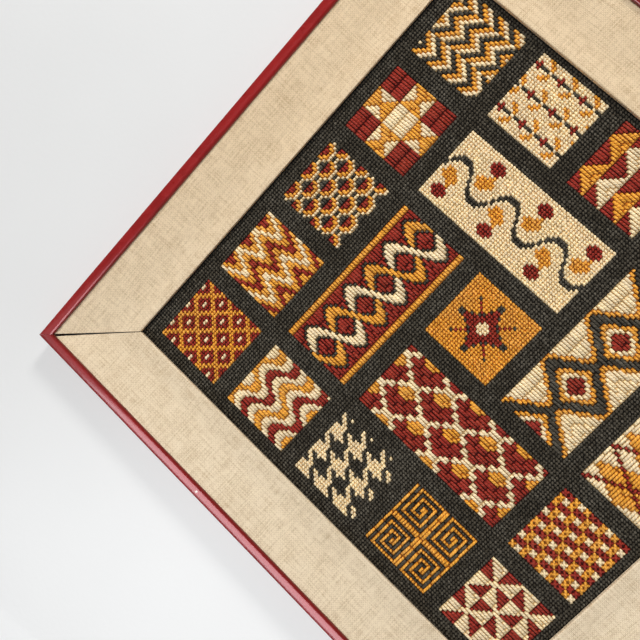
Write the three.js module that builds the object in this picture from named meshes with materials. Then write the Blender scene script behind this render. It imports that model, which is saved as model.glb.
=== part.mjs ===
// A framed needlepoint sampler that lies on its back: four lacquered frame rails, four linen-covered
// liner strips, the stitched canvas, and the board that the canvas is stretched over.
// Millimetres. +Z points out of the picture's face and +Y towards its top. The backs of the rails and
// of the liner lie on z = 0, and the origin is under the middle of the picture.

import * as THREE from "three";

// Driving dimensions
const OPENING = { width: 312, height: 326 }; // the stitched field that shows inside the liner
const LINER_FACE = 44.3; // linen that shows between the opening and the rail
const RAIL_FACE = 7.8; // width of a rail, seen from the front
const GAP = 0.3; // between pieces that touch

// Heights above the back
const RAIL_TOP = 20.6; // ridge of the rail
const RAIL_BROW = 19.7; // where its face meets the rounding of the outer edge
const RAIL_SPRINGING = 18.8; // where its upright sides end
const LINER_OUTER = 18; // linen beside the rail
const LINER_CREASE = 14.3; // linen where the slope meets the flat inner band
const LINER_LIP_TOP = 14; // linen at the opening
const STITCH_TOP = 10; // face of the stitched canvas

// Sizes across each strip
const RAIL_WALL = 4.2; // thickness of a rail below its rebate
const RAIL_RIDGE = 5.2; // from a rail's outer face to its ridge
const EDGE_ROUND = 0.8; // rounding of a rail's outer edge
const REBATE = 6; // how far the liner's lip laps over the canvas
const INNER_BAND = 14.5; // flat band of linen beside the opening
const CREASE_REACH = 4; // half the width of the soft bend at the crease
const LIP_ROUND = 0.9; // rounding of the linen over the lip's edge
const LIP_BEVEL = { width: 2, height: 1.2 }; // cut away under the lip's edge
const FOLD_ROUND = 1.2; // rounding of the linen beside the rail

const CANVAS_THICK = 2.1; // canvas with its wool
const BOARD_THICK = 3;
const SHORT_CUT = 1.3; // how far the left liner's upper end falls short of its mitre beside the rail

const FACE_STEPS = 6;
const BEND_STEPS = 4;

// Worked out from the sizes above
const FRAME_WIDTH = RAIL_FACE + LINER_FACE; // outer face of the rail to the opening
const OUTER = {
  width: OPENING.width + 2 * FRAME_WIDTH,
  height: OPENING.height + 2 * FRAME_WIDTH,
};
const LIP_UNDER = STITCH_TOP + GAP;
const REBATE_UNDER = LINER_OUTER + GAP;
const LINER_START = RAIL_WALL + GAP;

const LACQUER = { color: new THREE.Color(0.42, 0.035, 0.04), roughness: 0.28, metalness: 0 };
const LINEN = { color: new THREE.Color(0.73, 0.6, 0.43), roughness: 0.9, metalness: 0 };
const WOOL = { color: new THREE.Color(0.1, 0.075, 0.055), roughness: 0.95, metalness: 0 };
const BOARD = { color: new THREE.Color(0.3, 0.2, 0.12), roughness: 0.85, metalness: 0 };

// The four sides of the frame. half is half the side's outer length, reach its distance from the
// middle, turn its angle from the top side, and shortAt the end (1 or -1) that is cut short, or 0.
const SIDES = [
  { name: "top", turn: 0, half: OUTER.width / 2, reach: OUTER.height / 2, shortAt: 0 },
  { name: "left", turn: Math.PI / 2, half: OUTER.height / 2, reach: OUTER.width / 2, shortAt: 1 },
  { name: "bottom", turn: Math.PI, half: OUTER.width / 2, reach: OUTER.height / 2, shortAt: 0 },
  { name: "right", turn: -Math.PI / 2, half: OUTER.height / 2, reach: OUTER.width / 2, shortAt: 0 },
];

// Sections are drawn with x inward from the frame's outer face and y up from its back.

function railSection() {
  const shape = new THREE.Shape();
  shape.moveTo(0, 0);
  shape.lineTo(RAIL_WALL, 0);
  shape.lineTo(RAIL_WALL, REBATE_UNDER);
  shape.lineTo(RAIL_FACE, REBATE_UNDER);
  shape.lineTo(RAIL_FACE, RAIL_SPRINGING);
  shape.quadraticCurveTo(RAIL_FACE, RAIL_TOP, RAIL_RIDGE, RAIL_TOP);
  shape.quadraticCurveTo((RAIL_RIDGE + EDGE_ROUND) / 2, RAIL_TOP, EDGE_ROUND, RAIL_BROW);
  shape.quadraticCurveTo(0, (RAIL_BROW + RAIL_SPRINGING) / 2 + 0.2, 0, RAIL_SPRINGING);
  shape.closePath();
  return shape;
}

function linerSection() {
  const crease = FRAME_WIDTH - INNER_BAND;
  const slope = (LINER_OUTER - LINER_CREASE) / (crease - RAIL_FACE);
  const fall = (LINER_CREASE - LINER_LIP_TOP) / INNER_BAND;
  const shape = new THREE.Shape();
  shape.moveTo(LINER_START, 0);
  shape.lineTo(FRAME_WIDTH - REBATE, 0);
  shape.lineTo(FRAME_WIDTH - REBATE, LIP_UNDER);
  shape.lineTo(FRAME_WIDTH - LIP_BEVEL.width, LIP_UNDER);
  shape.lineTo(FRAME_WIDTH, LIP_UNDER + LIP_BEVEL.height);
  shape.lineTo(FRAME_WIDTH, LINER_LIP_TOP - LIP_ROUND);
  shape.quadraticCurveTo(FRAME_WIDTH, LINER_LIP_TOP, FRAME_WIDTH - LIP_ROUND, LINER_LIP_TOP);
  shape.lineTo(crease + CREASE_REACH, LINER_CREASE - fall * CREASE_REACH);
  shape.quadraticCurveTo(crease, LINER_CREASE, crease - CREASE_REACH, LINER_CREASE + slope * CREASE_REACH);
  shape.lineTo(RAIL_FACE, LINER_OUTER);
  shape.lineTo(LINER_START + FOLD_ROUND, LINER_OUTER);
  shape.quadraticCurveTo(LINER_START, LINER_OUTER, LINER_START, LINER_OUTER - FOLD_ROUND);
  shape.closePath();
  return shape;
}

// How far a strip ends short of its mitre line, along the strip, at a distance in from the outer face.
function mitreSetback(inward, shortCut) {
  const share = (FRAME_WIDTH - inward) / (FRAME_WIDTH - LINER_START);
  return (GAP / 2 + shortCut * share) * Math.SQRT2;
}

// A section run along one side of the frame and cut at 45 degrees at both ends. The side lies along X
// with its outer face at y = reach, before it is turned to its place.
function mitredStrip(section, side, shortCut, curveSegments) {
  const strip = new THREE.ExtrudeGeometry(section, { depth: 1, steps: 1, bevelEnabled: false, curveSegments });
  const points = strip.getAttribute("position");
  for (let i = 0; i < points.count; i += 1) {
    const inward = points.getX(i);
    const up = points.getY(i);
    const end = points.getZ(i) < 0.5 ? 1 : -1;
    const setback = mitreSetback(inward, end === side.shortAt ? shortCut : 0);
    points.setXYZ(i, end * (side.half - inward - setback), side.reach - inward, up);
  }
  return strip;
}

function addPiece(group, name, geometry, look) {
  const piece = new THREE.Mesh(geometry, new THREE.MeshStandardMaterial(look));
  piece.name = name;
  group.add(piece);
  return piece;
}

function addFrameSide(group, side) {
  const rail = mitredStrip(railSection(), side, 0, FACE_STEPS);
  const liner = mitredStrip(linerSection(), side, SHORT_CUT, BEND_STEPS);
  addPiece(group, `rail_${side.name}`, rail, LACQUER).rotation.z = side.turn;
  addPiece(group, `liner_${side.name}`, liner, LINEN).rotation.z = side.turn;
}

// A flat sheet that fits the liner's rebate, with its face at the height top.
function addRebateSheet(group, name, thick, top, look) {
  const lap = 2 * (REBATE - GAP);
  const sheet = new THREE.BoxGeometry(OPENING.width + lap, OPENING.height + lap, thick);
  addPiece(group, name, sheet, look).position.z = top - thick / 2;
}

const picture = new THREE.Group();
for (const side of SIDES) {
  addFrameSide(picture, side);
}
addRebateSheet(picture, "canvas", CANVAS_THICK, STITCH_TOP, WOOL);
addRebateSheet(picture, "backing_board", BOARD_THICK, STITCH_TOP - CANVAS_THICK - GAP, BOARD);

export default picture;
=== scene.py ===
"""Dresses a framed needlepoint sampler: lacquered rails, a linen liner, and every stitch of the wool.

The picture lies on its back. Metres, with +X to the picture's right, +Y to its top and +Z out of its face.
"""

import math

import bpy
import numpy as np
from mathutils import Matrix, Vector


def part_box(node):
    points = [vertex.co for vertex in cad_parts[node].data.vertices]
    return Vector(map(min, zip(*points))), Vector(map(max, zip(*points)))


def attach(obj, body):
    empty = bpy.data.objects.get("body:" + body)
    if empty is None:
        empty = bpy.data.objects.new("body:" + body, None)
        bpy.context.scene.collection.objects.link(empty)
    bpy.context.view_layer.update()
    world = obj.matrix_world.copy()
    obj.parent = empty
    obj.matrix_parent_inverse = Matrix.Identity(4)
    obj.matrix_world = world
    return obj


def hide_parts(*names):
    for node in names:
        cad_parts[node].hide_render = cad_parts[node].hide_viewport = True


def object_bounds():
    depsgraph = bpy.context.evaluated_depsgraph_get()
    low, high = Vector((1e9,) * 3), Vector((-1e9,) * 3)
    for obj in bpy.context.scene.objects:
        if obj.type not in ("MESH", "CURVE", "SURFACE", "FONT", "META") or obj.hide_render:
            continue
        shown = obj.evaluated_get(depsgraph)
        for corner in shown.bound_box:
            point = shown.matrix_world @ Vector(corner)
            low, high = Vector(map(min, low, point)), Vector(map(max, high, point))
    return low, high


MM = 0.001
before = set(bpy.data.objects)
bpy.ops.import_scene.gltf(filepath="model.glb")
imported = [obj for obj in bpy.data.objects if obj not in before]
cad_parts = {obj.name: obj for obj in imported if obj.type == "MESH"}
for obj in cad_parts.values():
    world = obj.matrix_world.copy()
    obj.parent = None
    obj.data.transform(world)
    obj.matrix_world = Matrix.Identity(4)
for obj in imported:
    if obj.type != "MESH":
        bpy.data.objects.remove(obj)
cad_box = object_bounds()

# Places taken from the frame
OPEN_LEFT, OPEN_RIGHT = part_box("liner_left")[1].x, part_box("liner_right")[0].x
OPEN_TOP, OPEN_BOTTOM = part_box("liner_top")[0].y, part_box("liner_bottom")[1].y
OUTER_X, OUTER_Y = cad_box[1].x, cad_box[1].y
RAIL_TOP = cad_box[1].z
RAIL_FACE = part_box("rail_right")[1].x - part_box("rail_right")[0].x
LINER_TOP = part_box("liner_right")[1].z
LINER_START = OUTER_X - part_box("liner_right")[1].x
FRAME_WIDTH = OUTER_X - OPEN_RIGHT
CANVAS_LOW, CANVAS_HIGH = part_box("canvas")

# The camera, placed from the photograph
CAMERA_AT = Vector((-21.3, 36.0, 368.6)) * MM
CAMERA_SEES = Vector((-64.3, 77.3, 10.0)) * MM
CAMERA_UP = Vector((0.729, 0.684, 0.0))
CAMERA_LENS = 30.94
CAMERA_SENSOR = 36.0

# The stitched field: a stitch is one hole of the canvas wide and high
STITCH_X, STITCH_Y = 2.08 * MM, 2.154 * MM
FIELD_LEFT = OPEN_LEFT + 8.9 * MM
FIELD_TOP = OPEN_TOP - 10.3 * MM
BLOCK, BAND = 24, 6
PITCH = BLOCK + BAND
PLACES = 5  # for blocks, across and down
LAP = 2  # stitches that run on under the liner's lip
COLUMNS = (
    math.floor((OPEN_LEFT - FIELD_LEFT) / STITCH_X) - LAP,
    math.ceil((OPEN_RIGHT - FIELD_LEFT) / STITCH_X) + LAP,
)
ROWS = (
    math.floor((FIELD_TOP - OPEN_TOP) / STITCH_Y) - LAP,
    math.ceil((FIELD_TOP - OPEN_BOTTOM) / STITCH_Y) + LAP,
)
WOOL_TOP = CANVAS_HIGH.z
SHEET_TOP = WOOL_TOP - 1.1 * MM  # face of the bare canvas under the wool

# Colours of wool, by their number in a chart
CHARCOAL, CREAM, GOLD, RED = range(4)

SHARP_ANGLE = math.radians(32)  # edges sharper than this are not shaded smooth


# Meshes

def add_object(name, mesh, slot, *nodes):
    """A piece that, where nodes are named, stands for them. The slot is not used."""
    piece = bpy.data.objects.new(name, mesh)
    bpy.context.scene.collection.objects.link(piece)
    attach(piece, "root")
    if nodes:
        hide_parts(*nodes)
    return piece


def mesh_from(name, points, corners, starts, materials, slots=None):
    """A mesh from arrays: each face's corners follow one another, from its place in starts."""
    mesh = bpy.data.meshes.new(name)
    mesh.vertices.add(len(points))
    mesh.vertices.foreach_set("co", np.asarray(points, np.float32).ravel())
    mesh.loops.add(len(corners))
    mesh.loops.foreach_set("vertex_index", np.asarray(corners, np.int32))
    mesh.polygons.add(len(starts))
    mesh.polygons.foreach_set("loop_start", np.asarray(starts, np.int32))
    for material in materials:
        mesh.materials.append(material)
    if slots is not None:
        mesh.polygons.foreach_set("material_index", np.asarray(slots, np.int32))
    mesh.polygons.foreach_set("use_smooth", np.ones(len(starts), bool))
    mesh.update(calc_edges=True)
    return mesh


# Nodes of a material

WAVE_RATE = 20.0  # radians that a wave texture turns through in one unit, at scale 1


def new_material(name):
    material = bpy.data.materials.new(name)
    material.use_nodes = True
    return material, material.node_tree, material.node_tree.nodes["Principled BSDF"]


def node(tree, kind, values=(), **settings):
    """A node with its settings, and its inputs by name or number: a value, or a socket to link."""
    made = tree.nodes.new("ShaderNode" + kind)
    for key, value in settings.items():
        setattr(made, key, value)
    for key, value in dict(values).items():
        if isinstance(value, bpy.types.NodeSocket):
            tree.links.new(value, made.inputs[key])
        else:
            made.inputs[key].default_value = value
    return made


def maths(tree, operation, *values):
    return node(tree, "Math", dict(enumerate(values)), operation=operation).outputs[0]


def total(tree, first, *others):
    for other in others:
        first = maths(tree, "ADD", first, other)
    return first


def product(tree, first, *others):
    for other in others:
        first = maths(tree, "MULTIPLY", first, other)
    return first


def noise(tree, where, scale, detail=2.0, roughness=0.5):
    values = {"Vector": where, "Scale": scale, "Detail": detail, "Roughness": roughness}
    return node(tree, "TexNoise", values).outputs["Fac"]


def stretched(tree, where, scale):
    return node(tree, "Mapping", {"Vector": where, "Scale": scale}).outputs[0]


def between(tree, value, low, high, out_low=0.0, out_high=1.0):
    """value, which runs from low to high, as one that runs from out_low to out_high."""
    values = {"Value": value, "From Min": low, "From Max": high, "To Min": out_low, "To Max": out_high}
    return node(tree, "MapRange", values).outputs[0]


def varied(tree, value, spread, low=0.3, high=0.7):
    """A factor that varies by spread about 1 as value runs from low to high."""
    return between(tree, value, low, high, 1 - spread, 1 + spread)


def mixed(tree, share, first, second, blend="MIX"):
    made = node(tree, "Mix", data_type="RGBA", blend_type=blend)
    for socket, value in ((0, share), (6, first), (7, second)):
        if isinstance(value, bpy.types.NodeSocket):
            tree.links.new(value, made.inputs[socket])
        else:
            made.inputs[socket].default_value = value
    return made.outputs[2]


def bump(tree, height, distance, strength=1.0, under=None):
    values = {"Height": height, "Distance": distance, "Strength": strength}
    if under is not None:
        values["Normal"] = under
    return node(tree, "Bump", values).outputs[0]


def brightness(tree, value, colour):
    """colour made lighter or darker by a factor."""
    grey = node(tree, "CombineColor", {0: value, 1: value, 2: value}).outputs[0]
    return mixed(tree, 1.0, colour, grey, "MULTIPLY")


def object_place(tree):
    return node(tree, "TexCoord").outputs["Object"]


# Wool and its canvas

WOOLS = {
    # name: (usual colour, colour of a paler or older lot, how much its tone varies, brightness of the painted
    # shade in its valleys)
    "charcoal_wool": ((0.054, 0.045, 0.031, 1.0), (0.076, 0.067, 0.051, 1.0), 1.0, 0.62),
    "cream_wool": ((0.94, 0.765, 0.50, 1.0), (0.89, 0.725, 0.44, 1.0), 0.65, 1.05),
    "gold_wool": ((0.91, 0.41, 0.045, 1.0), (0.75, 0.355, 0.060, 1.0), 0.9, 0.78),
    "red_wool": ((0.345, 0.030, 0.018, 1.0), (0.275, 0.029, 0.014, 1.0), 0.9, 0.62),
}
FLUFF = (0.85, 0.75, 0.62, 1.0)  # light caught by loose fibres
FLUFF_MOST = 0.05
FIBRE_STRETCH = (1.4, 9.0, 1.0)  # along the strand and round it
TWIST_SCALE = 0.31
# painted shade between the strands: deeper in colour and darker from the canvas up to near the tops of the
# yarn
VALLEY_SHADE_GAMMA = 1.6
VALLEY_SHADE_FROM, VALLEY_SHADE_TO = SHEET_TOP + 0.15 * MM, WOOL_TOP - 0.3 * MM


def wool_material(name, colour, other, spread, valley_shade):
    """Two-ply wool: a shade for each stitch, with loose fibres, the twist of its plies and painted shade in
    the valleys between strands.
    """
    material, tree, shader = new_material(name)
    place = object_place(tree)
    strand = node(tree, "UVMap", uv_map="strand").outputs[0]
    shade = node(tree, "Attribute", attribute_name="shade").outputs["Fac"]
    height = node(tree, "SeparateXYZ", {"Vector": place}).outputs["Z"]
    cloud = noise(tree, place, 45.0, 3.0)
    tuft = noise(tree, place, 850.0, 3.0, 0.6)
    fibre = noise(tree, stretched(tree, strand, FIBRE_STRETCH), 1.0, 3.0, 0.65)
    plies = {"Vector": strand, "Scale": TWIST_SCALE, "Distortion": 1.6, "Detail": 2.0}
    twist = node(tree, "TexWave", plies, bands_direction="DIAGONAL").outputs["Fac"]
    lot = between(tree, total(tree, cloud, product(tree, shade, 0.25)), 0.5, 0.8)
    dyed = mixed(tree, lot, colour, other)
    dyed = mixed(tree, between(tree, tuft, 0.45, 0.75, 0.0, FLUFF_MOST), dyed, FLUFF)
    # painted shade: the yarn turns darker and deeper in colour low down between the strands
    shaded = node(tree, "Gamma", {"Color": dyed, "Gamma": VALLEY_SHADE_GAMMA}).outputs[0]
    shaded = brightness(tree, valley_shade, shaded)
    dyed = mixed(tree, between(tree, height, VALLEY_SHADE_FROM, VALLEY_SHADE_TO), shaded, dyed)
    tone = product(
        tree,
        varied(tree, shade, 0.18, 0.0, 1.0),
        varied(tree, cloud, 0.07),
        varied(tree, fibre, 0.22),
        varied(tree, twist, 0.20, 0.0, 1.0),
        varied(tree, tuft, 0.24),
    )
    tone = varied(tree, tone, spread, 0.0, 2.0)
    tree.links.new(brightness(tree, tone, dyed), shader.inputs["Base Color"])
    tree.links.new(between(tree, fibre, 0.2, 0.8, 0.78, 0.98), shader.inputs["Roughness"])
    coarse = bump(tree, twist, 0.16 * MM, 0.8)
    tree.links.new(bump(tree, fibre, 0.12 * MM, 0.8, coarse), shader.inputs["Normal"])
    shader.inputs["Specular IOR Level"].default_value = 0.15
    return material


CANVAS_TONES = {
    # the canvas takes the hue of the wool over it, made darker as painted shade in the holes between stitches
    "canvas_charcoal": (0.014, 0.011, 0.008, 1.0),
    "canvas_cream": (0.45, 0.31, 0.15, 1.0),
    "canvas_gold": (0.28, 0.10, 0.014, 1.0),
    "canvas_red": (0.055, 0.006, 0.005, 1.0),
}


def canvas_material(name, colour):
    """The open canvas under the stitches, with its threads along X and Y."""
    material, tree, shader = new_material(name)
    place = object_place(tree)
    threads_of = {"Vector": place, "Scale": math.tau / STITCH_X / WAVE_RATE}
    warp = node(tree, "TexWave", threads_of, bands_direction="X").outputs["Fac"]
    weft = node(tree, "TexWave", threads_of, bands_direction="Y").outputs["Fac"]
    threads = maths(tree, "MAXIMUM", warp, weft)
    fluff = noise(tree, place, 1800.0, 3.0)
    tone = product(tree, between(tree, threads, 0.0, 1.0, 0.5, 1.1), varied(tree, fluff, 0.2))
    tree.links.new(brightness(tree, tone, colour), shader.inputs["Base Color"])
    tree.links.new(between(tree, fluff, 0.0, 1.0, 0.85, 1.0), shader.inputs["Roughness"])
    tree.links.new(bump(tree, threads, 0.4 * MM), shader.inputs["Normal"])
    shader.inputs["Specular IOR Level"].default_value = 0.1
    return material


# Linen

LINEN_LIGHT = (0.835, 0.662, 0.446, 1.0)
LINEN_DARK = (0.48, 0.326, 0.173, 1.0)
LINEN_PITCH = 0.86 * MM  # between threads
LINEN_BEND = 2.0 * MM  # how far the threads wander
LINEN_PAINTED_LIGHT = (1.10, 1.165, 1.26, 1.0)  # painted light: how much paler and bluer the linen is at its most brightly lit corner
# the way towards the lower left corner, where the painted light is strongest
PAINTED_LIGHT_WAY = Vector((-0.73, -0.68))
PAINTED_LIGHT_FROM, PAINTED_LIGHT_TO = -130 * MM, 80 * MM  # where the painted light begins and where it is full, along the way to the lit corner from the middle of the picture
SLUB_LONG, SLUB_FINE = 70.0, 1100.0


def linen_material():
    """Plain-weave linen with its threads along X and Y, slubs in both and a faintly blotched tone, with
    painted light that makes it paler and bluer towards its lower left corner.
    """
    material, tree, shader = new_material("liner_linen")
    place = object_place(tree)
    x, y = node(tree, "SeparateXYZ", {"Vector": place}).outputs[:2]
    shift = product(tree, maths(tree, "SUBTRACT", noise(tree, place, 70.0), 0.5), LINEN_BEND)
    turn = math.pi / LINEN_PITCH
    across = maths(tree, "SINE", product(tree, total(tree, x, shift), turn))
    along = maths(tree, "SINE", product(tree, total(tree, y, shift), turn))
    weave = product(tree, across, along)
    slub_x = noise(tree, stretched(tree, place, (SLUB_LONG, SLUB_FINE, SLUB_LONG)), 1.0)
    slub_y = noise(tree, stretched(tree, place, (SLUB_FINE, SLUB_LONG, SLUB_LONG)), 1.0)
    slubs = total(tree, between(tree, slub_x, 0.40, 0.70), between(tree, slub_y, 0.40, 0.70))
    blotch = noise(tree, place, 55.0, 4.0, 0.6)
    fray = noise(tree, place, 700.0)
    share = total(
        tree,
        between(tree, slubs, 0.0, 2.0, -0.07, 0.68),
        between(tree, blotch, 0.3, 0.7, -0.06, 0.13),
        product(tree, weave, 0.26),
        between(tree, fray, 0.3, 0.7, -0.13, 0.13),
    )
    cloth = mixed(tree, maths(tree, "MAXIMUM", share, 0.0), LINEN_LIGHT, LINEN_DARK)
    # painted light: paler and bluer towards the lower left
    brightened = mixed(tree, 1.0, cloth, LINEN_PAINTED_LIGHT, "MULTIPLY")
    way = total(tree, product(tree, x, PAINTED_LIGHT_WAY.x), product(tree, y, PAINTED_LIGHT_WAY.y))
    lit_cloth = mixed(tree, between(tree, way, PAINTED_LIGHT_FROM, PAINTED_LIGHT_TO), cloth, brightened)
    tree.links.new(lit_cloth, shader.inputs["Base Color"])
    tree.links.new(between(tree, blotch, 0.2, 0.8, 0.82, 0.95), shader.inputs["Roughness"])
    threads = bump(tree, maths(tree, "ABSOLUTE", weave), 0.16 * MM, 0.8)
    tree.links.new(bump(tree, slubs, 0.16 * MM, 0.7, threads), shader.inputs["Normal"])
    shader.inputs["Specular IOR Level"].default_value = 0.2
    return material


# Lacquer

LACQUER = (0.28, 0.0100, 0.0088, 1.0)
LACQUER_WORN = (0.33, 0.035, 0.025, 1.0)
LACQUER_GLOSS = (1.0, 0.2, 0.28, 1.0)  # tint of the sheen under the clear coat
LACQUER_GROOVE_SHADE = (0.13, 0.0095, 0.0065, 1.0)  # painted shade in the groove beside the linen on the left and right rails
# how far the painted groove shade reaches out from the linen
GROOVE_SHADE_REACH = 1.9 * MM
CHIP_PALE = (0.85, 0.76, 0.70, 1.0)
CHIP_AT = Vector((-204.1, 58.6, 20.4)) * MM
CHIP_SIZE = 1.15 * MM


def groove_shade_share(tree, place):
    """How much painted shade a place on the left and right rails gets, from 0 to 1 beside the linen."""
    x, y = node(tree, "SeparateXYZ", {"Vector": place}).outputs[:2]
    from_side = maths(tree, "SUBTRACT", OUTER_X, maths(tree, "ABSOLUTE", x))
    from_end = maths(tree, "SUBTRACT", OUTER_Y, maths(tree, "ABSOLUTE", y))
    on_side_rail = maths(tree, "GREATER_THAN", from_end, from_side)
    return product(tree, between(tree, from_side, RAIL_FACE - GROOVE_SHADE_REACH, RAIL_FACE), on_side_rail)


def chip_share(tree, place, fine):
    """1 inside the chip, with a ragged edge."""
    away = node(tree, "VectorMath", {0: place, 1: CHIP_AT}, operation="DISTANCE").outputs["Value"]
    ragged = product(tree, maths(tree, "SUBTRACT", fine, 0.5), 1.5 * CHIP_SIZE)
    return between(tree, total(tree, away, ragged), CHIP_SIZE, 0.6 * CHIP_SIZE)


def lacquer_material():
    """Red gloss lacquer on wood: brushed unevenly along the rail, dulled in places, with one small chip, and
    painted shade in the groove beside the linen on the left and right rails.
    """
    material, tree, shader = new_material("red_lacquer")
    place = object_place(tree)
    cloud = noise(tree, place, 60.0, 3.0)
    fine = noise(tree, place, 900.0)
    worn = between(tree, noise(tree, place, 240.0, 4.0, 0.7), 0.62, 0.72)
    tone = product(tree, between(tree, cloud, 0.3, 0.7, 0.88, 1.1), varied(tree, fine, 0.06))
    paint = brightness(tree, tone, mixed(tree, product(tree, worn, 0.5), LACQUER, LACQUER_WORN))
    # painted shade where the left and right rails meet the linen
    paint = mixed(tree, groove_shade_share(tree, place), paint, LACQUER_GROOVE_SHADE)
    chip = chip_share(tree, place, fine)
    tree.links.new(mixed(tree, chip, paint, CHIP_PALE), shader.inputs["Base Color"])
    dull = total(tree, between(tree, cloud, 0.3, 0.7, 0.22, 0.34), product(tree, chip, 0.5))
    tree.links.new(dull, shader.inputs["Roughness"])
    ripples = bump(tree, cloud, 0.25 * MM, 0.5)
    tree.links.new(bump(tree, fine, 0.02 * MM, 0.6, ripples), shader.inputs["Normal"])
    shader.inputs["Specular IOR Level"].default_value = 0.37
    shader.inputs["Specular Tint"].default_value = LACQUER_GLOSS
    shader.inputs["Coat Weight"].default_value = 1.0
    shader.inputs["Coat IOR"].default_value = 1.42
    shader.inputs["Coat Roughness"].default_value = 0.18
    return material


# Board and floor

BOARD_BROWN = (0.22, 0.13, 0.07, 1.0)
FLOOR_PALE = (0.765, 0.775, 0.78, 1.0)


def board_material():
    """Brown hardboard: pressed fibres in a mottled tone."""
    material, tree, shader = new_material("hardboard")
    place = object_place(tree)
    fibres = noise(tree, place, 700.0, 4.0, 0.7)
    mottle = noise(tree, place, 40.0, 3.0)
    tone = product(tree, varied(tree, fibres, 0.25), varied(tree, mottle, 0.1))
    tree.links.new(brightness(tree, tone, BOARD_BROWN), shader.inputs["Base Color"])
    tree.links.new(between(tree, mottle, 0.2, 0.8, 0.75, 0.95), shader.inputs["Roughness"])
    tree.links.new(bump(tree, fibres, 0.1 * MM), shader.inputs["Normal"])
    return material


def floor_material():
    """Pale paint with the faint orange peel of a roller."""
    material, tree, shader = new_material("pale_paint")
    place = object_place(tree)
    peel = noise(tree, place, 260.0)
    cloud = noise(tree, place, 9.0)
    paint = brightness(tree, between(tree, cloud, 0.3, 0.7, 0.985, 1.01), FLOOR_PALE)
    tree.links.new(paint, shader.inputs["Base Color"])
    tree.links.new(bump(tree, peel, 0.25 * MM, 0.35), shader.inputs["Normal"])
    shader.inputs["Roughness"].default_value = 0.47
    shader.inputs["Specular IOR Level"].default_value = 0.7
    return material


# The frame's strips. A section's points are (inward from the frame's outer face, up from its back).

SIDES = {
    # name: (turn from the top side, half its length, distance from the middle, end that is cut short)
    "top": (0.0, OUTER_X, OUTER_Y, 0),
    "left": (0.5 * math.pi, OUTER_Y, OUTER_X, 1),
    "bottom": (math.pi, OUTER_X, OUTER_Y, 0),
    "right": (-0.5 * math.pi, OUTER_Y, OUTER_X, 0),
}
SEAT_GAP = 0.3 * MM

RAIL_WALL = 4.2 * MM  # thickness of a rail below its rebate
RAIL_SPRINGING = 18.8 * MM  # where its upright sides end
RAIL_BROW = 19.7 * MM  # where its face meets the rounding of its outer edge
RAIL_RIDGE = 5.7 * MM  # from its outer face to its ridge, a little further in than on the solid
EDGE_ROUND = 0.8 * MM
RAIL_JOINT = 0.08 * MM  # open width of a mitre
RAIL_STATIONS = 60
RAIL_UNEVEN = 0.05 * MM

INNER_BAND = 14.5 * MM  # flat band of linen beside the opening
CREASE_HEIGHT = 13.3 * MM  # where slope and band would meet, lower than on the solid so that the bend shows
CREASE_REACH = 4.0 * MM  # half the width of that bend
LIP_HEIGHT = 14.0 * MM
LIP_ROUND = 0.9 * MM
LIP_UNDER = CANVAS_HIGH.z + SEAT_GAP
LIP_BEVEL = 2.0 * MM, 1.2 * MM  # width and height cut away under the lip's edge
REBATE = 6.0 * MM
LINER_JOINT = 0.42 * MM
SHORT_CUT = 1.3 * MM  # how far the left liner's upper end falls short beside the rail
LINER_STATIONS = 90
LINER_UNEVEN = 0.12 * MM
LINER_SEED = 10

RIPPLES = ((61 * MM, 0.5), (27 * MM, 0.3), (13 * MM, 0.2))  # (length over a radian, share)
RIPPLE_SLANT = 9 * MM


def curve(start, control, end, steps):
    """Points of a quadratic curve, from start up to but not at its end."""
    t = np.arange(steps)[:, None] / steps
    return (1 - t) ** 2 * np.array(start) + 2 * t * (1 - t) * np.array(control) + t**2 * np.array(end)


def rail_section():
    under = LINER_TOP + SEAT_GAP
    ridge, brow, foot = (RAIL_RIDGE, RAIL_TOP), (EDGE_ROUND, RAIL_BROW), (0, RAIL_SPRINGING)
    return np.vstack([
        [(0, 0), (RAIL_WALL, 0), (RAIL_WALL, under), (RAIL_FACE, under)],
        curve((RAIL_FACE, RAIL_SPRINGING), (RAIL_FACE, RAIL_TOP), ridge, 12),
        curve(ridge, ((RAIL_RIDGE + EDGE_ROUND) / 2, RAIL_TOP), brow, 12),
        curve(brow, (0, (RAIL_BROW + RAIL_SPRINGING) / 2 + 0.2 * MM), foot, 8),
        [foot],
    ])


def liner_section():
    crease = FRAME_WIDTH - INNER_BAND
    slope = (LINER_TOP - CREASE_HEIGHT) / (crease - RAIL_FACE)
    fall = (CREASE_HEIGHT - LIP_HEIGHT) / INNER_BAND
    foot = FRAME_WIDTH - REBATE
    round_end = (FRAME_WIDTH - LIP_ROUND, LIP_HEIGHT)
    bend_start = (crease + CREASE_REACH, CREASE_HEIGHT - fall * CREASE_REACH)
    bend_end = (crease - CREASE_REACH, CREASE_HEIGHT + slope * CREASE_REACH)
    return np.vstack([
        [(LINER_START, 0), (foot, 0), (foot, LIP_UNDER), (FRAME_WIDTH - LIP_BEVEL[0], LIP_UNDER)],
        [(FRAME_WIDTH, LIP_UNDER + LIP_BEVEL[1])],
        curve((FRAME_WIDTH, LIP_HEIGHT - LIP_ROUND), (FRAME_WIDTH, LIP_HEIGHT), round_end, 6),
        np.linspace(round_end, bend_start, 4, endpoint=False),
        curve(bend_start, (crease, CREASE_HEIGHT), bend_end, 10),
        np.linspace(bend_end, (RAIL_FACE, LINER_TOP), 8, endpoint=False),
        [(RAIL_FACE, LINER_TOP), (LINER_START, LINER_TOP)],
    ])


def rail_setback(inward, is_short):
    """How far a rail ends short of its mitre line, along the rail."""
    return RAIL_JOINT / math.sqrt(2)


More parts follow.
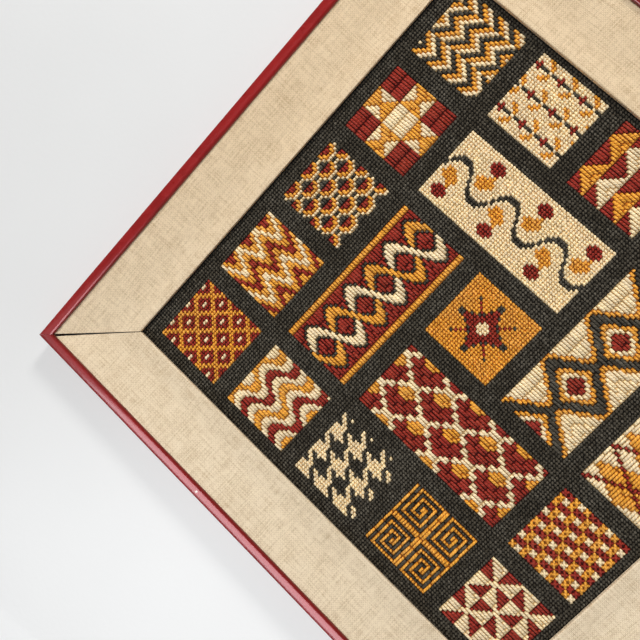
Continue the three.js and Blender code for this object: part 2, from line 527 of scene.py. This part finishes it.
def liner_setback(inward, is_short):
    """How far a liner strip ends short of its mitre line, more towards the rail at the short end."""
    cut = SHORT_CUT if is_short else 0.0
    share = (FRAME_WIDTH - inward) / (FRAME_WIDTH - LINER_START)
    return (LINER_JOINT / 2 + cut * share) * math.sqrt(2)


def unevenness(along, inward, seed):
    """A smooth unevenness from -1 to 1 along a strip."""
    phases = np.random.default_rng(seed).uniform(0, math.tau, len(RIPPLES))
    return sum(
        np.sin(along / length + inward / RIPPLE_SLANT + phase) * share
        for (length, share), phase in zip(RIPPLES, phases)
    )


def strip_mesh(name, section, side, setback, stations, uneven, seed, material):
    """A section run along one side and cut at 45 degrees. Its face is a little uneven."""
    turn, half, reach, short_end = SIDES[side]
    inward, up = section.T
    ends = [half - inward - setback(inward, end == short_end) for end in (-1, 1)]
    share = np.linspace(0, 1, stations)[:, None]
    along = -ends[0] * (1 - share) + ends[1] * share
    on_face = up > LIP_UNDER + MM
    lift = uneven * unevenness(along, inward, seed) * on_face
    flat = np.stack([along, np.broadcast_to(reach - inward, along.shape), up + lift], -1)
    cos, sin = math.cos(turn), math.sin(turn)
    points = flat.reshape(-1, 3) @ np.array([(cos, sin, 0), (-sin, cos, 0), (0, 0, 1)])
    count = len(section)
    a = np.arange(stations - 1)[:, None] * count + np.arange(count)
    b = np.arange(stations - 1)[:, None] * count + np.roll(np.arange(count), -1)
    quads = np.stack([a, a + count, b + count, b], -1).reshape(-1, 4)
    caps = [np.arange(count), np.arange(count)[::-1] + count * (stations - 1)]
    corners = np.concatenate([quads.ravel(), *caps])
    starts = np.r_[np.arange(len(quads)) * 4, quads.size, quads.size + count]
    mesh = mesh_from(name, points, corners, starts, [material])
    mesh.set_sharp_from_angle(angle=SHARP_ANGLE)
    return mesh


def add_rail(side, seed, lacquer):
    name = f"rail_{side}_lacquered"
    mesh = strip_mesh(name, rail_section(), side, rail_setback, RAIL_STATIONS, RAIL_UNEVEN, seed, lacquer)
    add_object(name, mesh, "lacquer", f"rail_{side}")


def add_liner(side, seed, linen):
    name = f"liner_{side}_linen"
    mesh = strip_mesh(name, liner_section(), side, liner_setback, LINER_STATIONS, LINER_UNEVEN, seed, linen)
    add_object(name, mesh, "linen", f"liner_{side}")


def make_frame():
    lacquer, linen = lacquer_material(), linen_material()
    for number, side in enumerate(SIDES):
        add_rail(side, number, lacquer)
        add_liner(side, number + LINER_SEED, linen)
    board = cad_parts["backing_board"]
    board.data.materials.clear()
    board.data.materials.append(board_material())


# Charts. A motif takes each stitch's column i from the left and row j from the top of its block,
# and gives the number of its wool. MIDDLE is the middle of a block, between two stitches.

MIDDLE = (BLOCK - 1) / 2


def pick(choices, index):
    return np.array(choices)[np.asarray(index, int)]


def trellis(i, j):
    """Crossing lines two stitches wide, with a stud in each diamond."""
    a, b = (i + j) % 8, (i - j) % 8
    stud = np.abs(a - 4.5) + np.abs(b - 4.5) < 2
    return np.where((a < 2) | (b < 2), GOLD, np.where(stud, CREAM, RED))


def flame(i, j):
    """Bands that climb and fall steeply."""
    climb = 2 * np.abs(i % 8 - 3.5).astype(int)
    return pick([RED, GOLD, CREAM, GOLD], (j + climb) // 3 % 4)


def wave_scales(i, j):
    """Overlapping scales of rings, each row laid over the one below it."""
    out = np.full(np.broadcast(i, j).shape, CHARCOAL)
    for row in range(7, -2, -1):
        across = (i + 4 * (row % 2) + 0.5) % 8 - 4
        ring = np.hypot(across, j + 0.5 - 4 * row)
        scale = (ring < 4.6) & (j >= 4 * row)
        out = np.where(scale, pick([RED, RED, GOLD, CREAM, CHARCOAL], np.minimum(ring, 4)), out)
    return out


def quartered_star(i, j):
    """Nine squares: a plain middle and corners, and two pairs of triangles in each of the others."""
    tile = i // 8 + j // 8
    x, y = np.abs(i % 8 - 3.5), np.abs(j % 8 - 3.5)
    middle = (i // 8 == 1) & (j // 8 == 1)
    points = np.where(j // 8 == 1, y > x, x > y)
    beside = (tile % 2 == 1) & points
    return np.where(middle | beside, CREAM, np.where(tile % 2 == 1, GOLD, RED))


def herringbone(i, j):
    """Slanting bands that turn back every four stitches."""
    slant = (j + np.where(i // 4 % 2 == 1, i, -i)) % 6
    return pick([GOLD, GOLD, CREAM, CREAM, CHARCOAL, CHARCOAL], slant)


def waves(i, j):
    """Rounded waves, one above another."""
    height = j + 2.4 * np.sin(math.tau * i / 12) + BLOCK
    return pick([GOLD, CREAM, RED, CREAM], height // 3 % 4)


def houndstooth(i, j):
    return np.where(np.where((i + j) % 4 < 2, i, j) // 4 % 2 == 1, CHARCOAL, CREAM)


def scrolls(i, j):
    """Square spirals, each the mirror image of its neighbour."""
    x = np.where(i // 12 % 2 == 1, 11 - i % 12, i % 12)
    y = j % 12
    ring = np.minimum(np.minimum(x, y), np.minimum(11 - x, 11 - y))
    cut = (x == ring) & (y == ring + 1)
    return np.where((ring % 2 == 0) ^ cut, GOLD, CHARCOAL)


def pinwheels(i, j):
    """Eight blades turn round the middle of each quarter."""
    angle = np.arctan2(j % 12 - 5.5, i % 12 - 5.5)
    return np.where(np.floor(angle / (math.pi / 4)) % 2 == 0, RED, CREAM)


def plus_signs(i, j):
    """Crosses of five boxes, each box two stitches wide."""
    a, b = i // 2 + j // 2 * 2, i // 2 * 2 - j // 2
    return np.where((a % 5 == 2) & (b % 5 == 4), CREAM, np.where(a % 5 % 2 == 0, GOLD, RED))


def argyle(i, j):
    """Tall diamonds with thin lines across them."""
    diamond = np.abs(i % 12 - 5.5) * 2 + np.abs(j - MIDDLE) < 12
    line = ((i * 2 + j) % 24 < 2) | ((i * 2 - j) % 24 < 2)
    return np.where(line, RED, np.where(diamond, GOLD, CREAM))


def hourglasses(i, j):
    upright = np.abs(i % 8 - 3.5) < np.abs(j % 8 - 3.5)
    return np.where(upright, pick([GOLD, CREAM], (i // 8 + j // 8) % 2), RED)


def ringed_diamonds(i, j):
    ring = np.abs(i - MIDDLE) + np.abs(j - MIDDLE)
    return pick([RED, GOLD, CREAM, CHARCOAL], ring // 3 % 4)


SPRIG = (
    "....o...",
    "...ooo..",
    "....s...",
    ".l..s..l",
    ".ll.s.ll",
    "..ll.ll.",
    "....s...",
    "....s...",
)
SPRIG_WOOLS = {".": CREAM, "o": RED, "s": CHARCOAL, "l": GOLD}  # ground, flower, stem, leaf


def sprigs(i, j):
    """Small sprigs with a flower and two pairs of leaves, in half drop."""
    chart = np.array([[SPRIG_WOOLS[mark] for mark in row] for row in SPRIG])
    return chart[(j + 4 * (i // 8 % 2)) % 8, i % 8]


def flying_geese(i, j):
    """Rows of triangles that point up."""
    wing = np.abs(i % 12 - 5.5) <= j % 6 + 0.5
    return np.where(wing, pick([GOLD, CREAM], j // 6 % 2), RED)


def honeycomb(i, j):
    """Cells round staggered centres, with a line where two centres are equally near."""
    centres = [(8 * a + 4 * (b % 2), 7 * b) for a in range(-1, 5) for b in range(-1, 5)]
    near = np.sort([np.hypot(i - x, j - y) for x, y in centres], 0)
    return np.where(near[1] - near[0] < 1.3, GOLD, np.where(near[0] < 1.6, CREAM, RED))


def compass(i, j):
    """A star with four long points and four short ones."""
    x, y = np.abs(i - MIDDLE), np.abs(j - MIDDLE)
    across, along = (x + y) / math.sqrt(2), np.abs(x - y) / math.sqrt(2)
    point = np.minimum(np.sqrt(x) + np.sqrt(y) - 3.35, np.sqrt(across) + np.sqrt(along) - 2.9)
    star = np.where(point < 0, RED, np.where(point < 0.28, CHARCOAL, GOLD))
    return np.where(x + y < 3, CREAM, star)


def plait(i, j):
    """Two strands with dark edges that pass over and under each other."""
    swing = 6.0 * np.sin(math.tau * i / 18)
    first, second = np.abs(j - MIDDLE - swing), np.abs(j - MIDDLE + swing)
    first_is_over = (i + 4) // 9 % 2 == 0
    over, under = np.where(first_is_over, first, second), np.where(first_is_over, second, first)
    over_wool = np.where(over < 2, np.where(first_is_over, GOLD, CREAM), CHARCOAL)
    under_wool = np.where(under < 2, np.where(first_is_over, CREAM, GOLD), CHARCOAL)
    eye = np.abs((i + 4.5) % 9 - 4.0) + np.abs(j - MIDDLE) < 2
    out = np.where(eye, CREAM, RED)
    out = np.where(under < 3, under_wool, out)
    out = np.where(over < 3, over_wool, out)
    return np.where((j < 2) | (j > 21), GOLD, out)


def vine(i, j):
    """A winding stem with a leaf in each bend and a berry across from it."""
    stem = MIDDLE + 4.5 * np.sin(math.tau * j / 18)
    x = (i - MIDDLE) * np.where(j // 9 % 2 == 0, 1, -1)
    y = j % 9 - 4.0
    leaf = np.abs(x + 2.5) / 3.4 + np.abs(y + 0.4 * (x + 3)) / 3.2 < 1
    berry = np.hypot(x + 8.0, y) < 2.3
    out = np.where(leaf, GOLD, CREAM)
    out = np.where(berry, RED, out)
    return np.where(np.abs(i - stem) < 1.0, CHARCOAL, out)


def lozenge_chain(i, j):
    """Lozenges in rings, end to end."""
    ring = np.abs((i + 9) % 18 - 8.5) * 12 / 9 + np.abs(j - MIDDLE)
    rings = [RED, RED, CREAM, GOLD, CHARCOAL, CHARCOAL, GOLD, CREAM]
    return pick(rings, np.minimum(ring // 2, 7))


def ogees(i, j):
    """Rows of pointed ovals between swaying lines."""
    sway = 2.9 * np.cos(math.tau * j / 18)
    near = np.minimum(np.abs((i + 0.5 - sway) % 12 - 6), np.abs((i + 6.5 + sway) % 12 - 6))
    outer = np.abs(j % 18 - 8.5) > 4.5
    x = np.where(outer, (i + 0.5) % 12 - 6, (i + 6.5) % 12 - 6)
    y = np.where(outer, (j + 9) % 18 - 8.5, j % 18 - 8.5)
    drop = np.abs(x) * 1.6 + np.abs(y) < 4
    return np.where(near < 1.0, CREAM, np.where(drop, GOLD, RED))


# The sampler's layout: four long blocks turn round the middle one, and sixteen small ones round them.
LAYOUT = [
    # (row, column, rows, columns, motif, kind of stitch)
    (0, 0, 1, 1, trellis, "tent"),
    (0, 1, 1, 1, flame, "upright"),
    (0, 2, 1, 1, wave_scales, "upright"),
    (0, 3, 1, 1, quartered_star, "upright"),
    (0, 4, 1, 1, herringbone, "upright"),
    (1, 0, 1, 1, waves, "upright"),
    (1, 1, 1, 2, plait, "upright"),
    (1, 3, 2, 1, vine, "tent"),
    (1, 4, 1, 1, sprigs, "tent"),
    (2, 0, 1, 1, houndstooth, "tent"),
    (2, 1, 2, 1, ogees, "upright"),
    (2, 2, 1, 1, compass, "tent"),
    (2, 4, 1, 1, flying_geese, "upright"),
    (3, 0, 1, 1, scrolls, "level"),
    (3, 2, 1, 2, lozenge_chain, "upright"),
    (3, 4, 1, 1, honeycomb, "tent"),
    (4, 0, 1, 1, pinwheels, "upright"),
    (4, 1, 1, 1, plus_signs, "cross"),
    (4, 2, 1, 1, argyle, "level"),
    (4, 3, 1, 1, hourglasses, "level"),
    (4, 4, 1, 1, ringed_diamonds, "upright"),
]


# Kinds of stitch. Each gives rows of (start column, start row, end column, end row, wool, layer).

LONGEST = 4  # holes that one straight stitch spans at most


def tent_stitches(chart):
    """One short slanting stitch over each crossing of the canvas."""
    j, i = np.indices(chart.shape)
    return np.stack([i, j + 1, i + 1, j, chart, np.zeros_like(i)], -1).reshape(-1, 6).astype(float)


def runs(line):
    """Stretches of one wool along a line of a chart, cut to LONGEST: (start, end, wool)."""
    start = 0
    for k in range(1, len(line) + 1):
        if k == len(line) or line[k] != line[start] or k - start == LONGEST:
            yield start, k, line[start]
            start = k


def upright_stitches(chart):
    rows = [(c + 0.5, a, c + 0.5, b, w, 0) for c in range(chart.shape[1]) for a, b, w in runs(chart[:, c])]
    return np.array(rows, float)


def level_stitches(chart):
    rows = [(a, r + 0.5, b, r + 0.5, w, 0) for r in range(chart.shape[0]) for a, b, w in runs(chart[r])]
    return np.array(rows, float)


def cross_stitches(chart):
    """Crosses over boxes of two by two holes, the rising leg on top."""
    rows = []
    for r in range(0, chart.shape[0], 2):
        for c in range(0, chart.shape[1], 2):
            rows.append((c, r, c + 2, r + 2, chart[r, c], 0))
            rows.append((c, r + 2, c + 2, r, chart[r, c], 1))
    return np.array(rows, float)


KINDS = {
    # kind: (maker, half width of the yarn, rise of the yarn)
    "tent": (tent_stitches, 0.94 * MM, 1.08 * MM),
    "upright": (upright_stitches, 1.04 * MM, 1.12 * MM),
    "level": (level_stitches, 1.04 * MM, 1.12 * MM),
    "cross": (cross_stitches, 0.92 * MM, 0.86 * MM),
}
GROUND_HALF_WIDTH = 1.02 * MM
LAYER_LIFT = 0.30 * MM

# One stitch is a row of rings, each an arch of points over the yarn
RINGS = 5
RING_WIDTH = np.array([0.42, 0.93, 1.0, 0.93, 0.42])
RING_HEIGHT = np.array([0.25, 0.88, 1.0, 0.88, 0.25])
RING_DIP = np.array([0.4, 0.0, 0.0, 0.0, 0.4]) * MM
END_REACH, END_SHARE = 0.85 * MM, 0.26  # from the first ring to the second, at most
GROUND_POINTS, BLOCK_POINTS = 4, 5  # in one ring

# How uneven the hand is
PLACE_SPREAD = 0.11 * MM
SIZE_SPREAD = 0.09
TALLEST = 1.15
BOW_SPREAD = 0.12 * MM
STRAND_SHIFT = 40.0  # millimetres that a strand's map is moved along it, at most
BLOCK_SEED = 100

YARN_ROUND = 2.4  # millimetres over the yarn from side to side, in the strand's map

# Within a stitch's cell of the sheet map: where its length, its top and its underside lie, as (first, width)
CELL_LENGTH = 0.06, 0.88
CELL_TOP = 0.05, 0.76
CELL_UNDER = 0.86, 0.08


def template(points):
    """Faces of one stitch: its rounded top, its flat underside and its two ends, as corners and starts."""
    faces = []
    for ring in range(RINGS - 1):
        for k in range(points):
            a, b = ring * points + k, ring * points + (k + 1) % points
            faces.append((a, a + points, b + points, b))
    faces.append(tuple(range(points)))
    faces.append(tuple(range(RINGS * points - 1, (RINGS - 1) * points - 1, -1)))
    starts = np.cumsum([0] + [len(f) for f in faces[:-1]])
    return np.concatenate(faces), starts


def template_maps(points):
    """For each corner of the template: its ring, its place round the yarn, and whether it is hidden."""
    corners, starts = template(points)
    ring, place = corners // points, corners % points
    face = np.searchsorted(starts, np.arange(len(corners)), "right") - 1
    is_underside = face % points == points - 1
    is_end = face >= (RINGS - 1) * points
    return ring, place, is_underside | is_end


def stitch_points(rows, half_width, rise, points, rng):
    """Points of every stitch, each a length of yarn between two holes, and how far its rings are along it."""
    count = len(rows)
    start = np.c_[FIELD_LEFT + rows[:, 0] * STITCH_X, FIELD_TOP - rows[:, 1] * STITCH_Y]
    end = np.c_[FIELD_LEFT + rows[:, 2] * STITCH_X, FIELD_TOP - rows[:, 3] * STITCH_Y]
    start += rng.normal(0, PLACE_SPREAD, start.shape)
    end += rng.normal(0, PLACE_SPREAD, end.shape)
    run = end - start
    length = np.linalg.norm(run, axis=1)
    way = run / length[:, None]
    side = np.c_[-way[:, 1], way[:, 0]]
    reach = np.minimum(END_REACH, END_SHARE * length)
    along = np.stack([0 * length, reach, length / 2, length - reach, length], 1)
    half = half_width * rng.normal(1, SIZE_SPREAD, (count, 1)) * RING_WIDTH
    tall = rise * np.minimum(rng.normal(1, SIZE_SPREAD, (count, 1)), TALLEST) * RING_HEIGHT
    bow = rng.normal(0, BOW_SPREAD, (count, 1)) * (RING_HEIGHT - RING_HEIGHT[0])
    angle = np.linspace(0, math.pi, points)
    across = half[:, :, None] * np.cos(angle) + bow[:, :, None]
    foot = SHEET_TOP + LAYER_LIFT * rows[:, 5, None] - RING_DIP
    up = foot[:, :, None] + tall[:, :, None] * np.sin(angle)
    flat = start[:, None, None] + way[:, None, None] * along[:, :, None, None]
    flat = flat + side[:, None, None] * across[..., None]
    return np.concatenate([flat, up[..., None]], -1).reshape(-1, 3), along


def stitch_mesh(name, rows, half_width, rise, points, materials, rng):
    """One mesh of many stitches, with a shade of its own for each."""
    count = len(rows)
    vertices, along = stitch_points(rows, half_width, rise, points, rng)
    corners, starts = template(points)
    size = RINGS * points
    all_corners = (corners + size * np.arange(count)[:, None]).ravel()
    all_starts = (starts + len(corners) * np.arange(count)[:, None]).ravel()
    wool = rows[:, 4].astype(int)
    used = sorted(set(wool))
    slots = np.repeat(np.searchsorted(used, wool), len(starts))
    mesh = mesh_from(name, vertices, all_corners, all_starts, [materials[k] for k in used], slots)
    shade = np.repeat(rng.uniform(0, 1, count), size)
    mesh.attributes.new("shade", "FLOAT", "POINT").data.foreach_set("value", shade.astype(np.float32))
    add_maps(mesh, along, points, rng)
    return mesh


def add_maps(mesh, along, points, rng):
    """Two maps: the strand's own lengths in millimetres, and a sheet with a cell for each stitch."""
    count = len(along)
    ring, place, is_hidden = template_maps(points)
    round_yarn = place / (points - 1)
    own = np.stack([along[:, ring] / MM, np.broadcast_to(round_yarn * YARN_ROUND, (count, len(ring)))], -1)
    own[..., 0] += rng.uniform(0, STRAND_SHIFT, (count, 1))
    strand = mesh.uv_layers.new(name="strand", do_init=False)
    strand.uv.foreach_set("vector", own.astype(np.float32).ravel())
    cells = math.ceil(math.sqrt(count))
    cell = np.stack(np.divmod(np.arange(count), cells), -1)[:, None]
    shown, hidden = CELL_TOP[0] + CELL_TOP[1] * round_yarn, CELL_UNDER[0] + CELL_UNDER[1] * round_yarn
    length = CELL_LENGTH[0] + CELL_LENGTH[1] * ring / (RINGS - 1)
    inside = np.stack([length, np.where(is_hidden, hidden, shown)], -1)
    sheet = mesh.uv_layers.new(name="OFBake", do_init=False)
    sheet.uv.foreach_set("vector", ((cell + inside) / cells).astype(np.float32).ravel())


# The needlework

def block_chart(rows, columns, motif):
    j, i = np.indices((rows * PITCH - BAND, columns * PITCH - BAND))
    return motif(i, j)


def field_charts():
    """The wool over every hole of the field, and whether it lies in a block."""
    size = (ROWS[1] - ROWS[0], COLUMNS[1] - COLUMNS[0])
    chart, covered = np.full(size, CHARCOAL), np.zeros(size, bool)
    for row, column, rows, columns, motif, _ in LAYOUT:
        block = block_chart(rows, columns, motif)
        top, left = row * PITCH - ROWS[0], column * PITCH - COLUMNS[0]
        inside = np.s_[top:top + block.shape[0], left:left + block.shape[1]]
        chart[inside] = block
        covered[inside] = True
    return chart, covered


def make_ground(covered, materials):
    """The dark tent stitches round the blocks, in two pieces."""
    rows = tent_stitches(np.full(covered.shape, CHARCOAL))[~covered.ravel()]
    rows[:, (0, 2)] += COLUMNS[0]
    rows[:, (1, 3)] += ROWS[0]
    middle = PLACES / 2 * PITCH - BAND / 2
    is_upper = rows[:, 3] < middle
    rise = KINDS["tent"][2]
    pieces = []
    for seed, (name, part) in enumerate((("ground_upper", is_upper), ("ground_lower", ~is_upper)), 1):
        rng = np.random.default_rng(seed)
        mesh = stitch_mesh(name, rows[part], GROUND_HALF_WIDTH, rise, GROUND_POINTS, materials, rng)
        pieces.append(add_object(name, mesh, "wool"))
    return pieces


def make_blocks(materials):
    """The coloured blocks, each one piece."""
    pieces = []
    for number, (row, column, rows, columns, motif, kind) in enumerate(LAYOUT):
        maker, half_width, rise = KINDS[kind]
        stitches = maker(block_chart(rows, columns, motif))
        stitches[:, (0, 2)] += column * PITCH
        stitches[:, (1, 3)] += row * PITCH
        name = f"block_{number + 1:02d}_{motif.__name__}"
        rng = np.random.default_rng(BLOCK_SEED + number)
        mesh = stitch_mesh(name, stitches, half_width, rise, BLOCK_POINTS, materials, rng)
        pieces.append(add_object(name, mesh, "wool"))
    return pieces


def make_canvas(chart):
    """The canvas as a thin slab, toned like the wool over each hole and darker, as painted shade in the
    holes.
    """
    x = np.r_[CANVAS_LOW.x, FIELD_LEFT + np.arange(COLUMNS[0], COLUMNS[1] + 1) * STITCH_X, CANVAS_HIGH.x]
    y = np.r_[CANVAS_HIGH.y, FIELD_TOP - np.arange(ROWS[0], ROWS[1] + 1) * STITCH_Y, CANVAS_LOW.y]
    across, down = len(x), len(y)
    top = np.stack([*np.meshgrid(x, y), np.full((down, across), SHEET_TOP)], -1).reshape(-1, 3)
    a = (np.arange(down - 1)[:, None] * across + np.arange(across - 1)).ravel()
    faces = np.stack([a, a + across, a + across + 1, a + 1], 1)
    first_row, last_column = np.arange(across), np.arange(2 * across - 1, down * across, across)
    last_row = np.arange(down * across - 2, (down - 1) * across - 1, -1)
    first_column = np.arange((down - 2) * across, 0, -across)
    rim = np.r_[first_row, last_column, last_row, first_column]
    below = top[rim] * (1, 1, 0) + (0, 0, CANVAS_LOW.z)
    foot = len(top) + np.arange(len(rim))
    walls = np.stack([rim, np.roll(rim, -1), np.roll(foot, -1), foot], 1)
    # each cell takes the darker canvas tone of its wool, painted shade in the holes
    tones = np.full((down - 1, across - 1), CHARCOAL)
    tones[1:-1, 1:-1] = chart
    slots = np.r_[tones.ravel(), np.full(len(walls) + 1, CREAM)]
    quads = np.vstack([faces, walls])
    corners = np.r_[quads.ravel(), foot]
    starts = np.arange(len(quads) + 1) * 4
    materials = [canvas_material(name, colour) for name, colour in CANVAS_TONES.items()]
    mesh = mesh_from("canvas_sheet", np.vstack([top, below]), corners, starts, materials, slots)
    mesh.set_sharp_from_angle(angle=SHARP_ANGLE)
    return add_object("canvas_sheet", mesh, "wool", "canvas")


def make_needlework():
    wools = [wool_material(name, *looks) for name, looks in WOOLS.items()]
    chart, covered = field_charts()
    canvas = make_canvas(chart)
    stitched = make_ground(covered, wools) + make_blocks(wools)


# The studio

FLOOR_HALF = 3.0
SKY_COLOUR, SKY_STRENGTH = (0.95, 0.97, 1.0, 1.0), 0.18
LIGHTS = {
    # name: (place, point it faces, width and height, watts, colour, lights surfaces, shows as a reflection)
    "overhead": ((0.3, 1.35, 2.5), (0, 0, 0), (1.6, 1.6), 60.0, (1.0, 0.99, 0.97), True, False),
    "key": ((1.16, 0.30, 0.80), (0, 0, 0), (0.26, 0.26), 8.6, (1.0, 0.97, 0.94), True, False),
    "window": ((-0.9, -0.25, 1.45), (-0.2, -0.25, 1.45), (1.4, 2.0), 60.0, (0.97, 0.98, 1.0), False, True),
    "curtain": ((-0.9, 0.95, 1.45), (-0.2, 0.95, 1.45), (1.0, 2.0), 5.0, (0.97, 0.98, 1.0), False, True),
}


def make_camera():
    data = bpy.data.cameras.new("camera")
    data.lens = CAMERA_LENS
    data.sensor_width = CAMERA_SENSOR
    data.clip_start, data.clip_end = 0.01, 20.0
    camera = bpy.data.objects.new("camera", data)
    forward = (CAMERA_SEES - CAMERA_AT).normalized()
    right = forward.cross(CAMERA_UP).normalized()
    turn = Matrix((right, right.cross(forward), -forward)).transposed().to_4x4()
    camera.matrix_world = Matrix.Translation(CAMERA_AT) @ turn
    bpy.context.scene.collection.objects.link(camera)
    bpy.context.scene.camera = camera


def area_light(name, place, target, size, power, colour, diffuse, glossy):
    data = bpy.data.lights.new(name, "AREA")
    data.shape = "RECTANGLE"
    data.size, data.size_y = size
    data.energy = power
    data.color = colour
    light = bpy.data.objects.new(name, data)
    light.location = place
    light.rotation_euler = (Vector(target) - Vector(place)).to_track_quat("-Z", "Y").to_euler()
    light.visible_diffuse = diffuse
    light.visible_glossy = glossy
    bpy.context.scene.collection.objects.link(light)


def make_floor():
    h = FLOOR_HALF
    floor = bpy.data.objects.new("floor", bpy.data.meshes.new("floor"))
    floor.data.from_pydata([(-h, -h, 0), (h, -h, 0), (h, h, 0), (-h, h, 0)], [], [(0, 1, 2, 3)])
    floor.data.materials.append(floor_material())
    bpy.context.scene.collection.objects.link(floor)


def make_studio():
    make_floor()
    world = bpy.data.worlds.new("studio")
    bpy.context.scene.world = world
    world.use_nodes = True
    sky = world.node_tree.nodes["Background"]
    sky.inputs["Color"].default_value = SKY_COLOUR
    sky.inputs["Strength"].default_value = SKY_STRENGTH
    for name, values in LIGHTS.items():
        area_light(name, *values)
    bpy.context.scene.view_settings.view_transform = "Standard"


make_camera()
make_frame()
make_needlework()
make_studio()
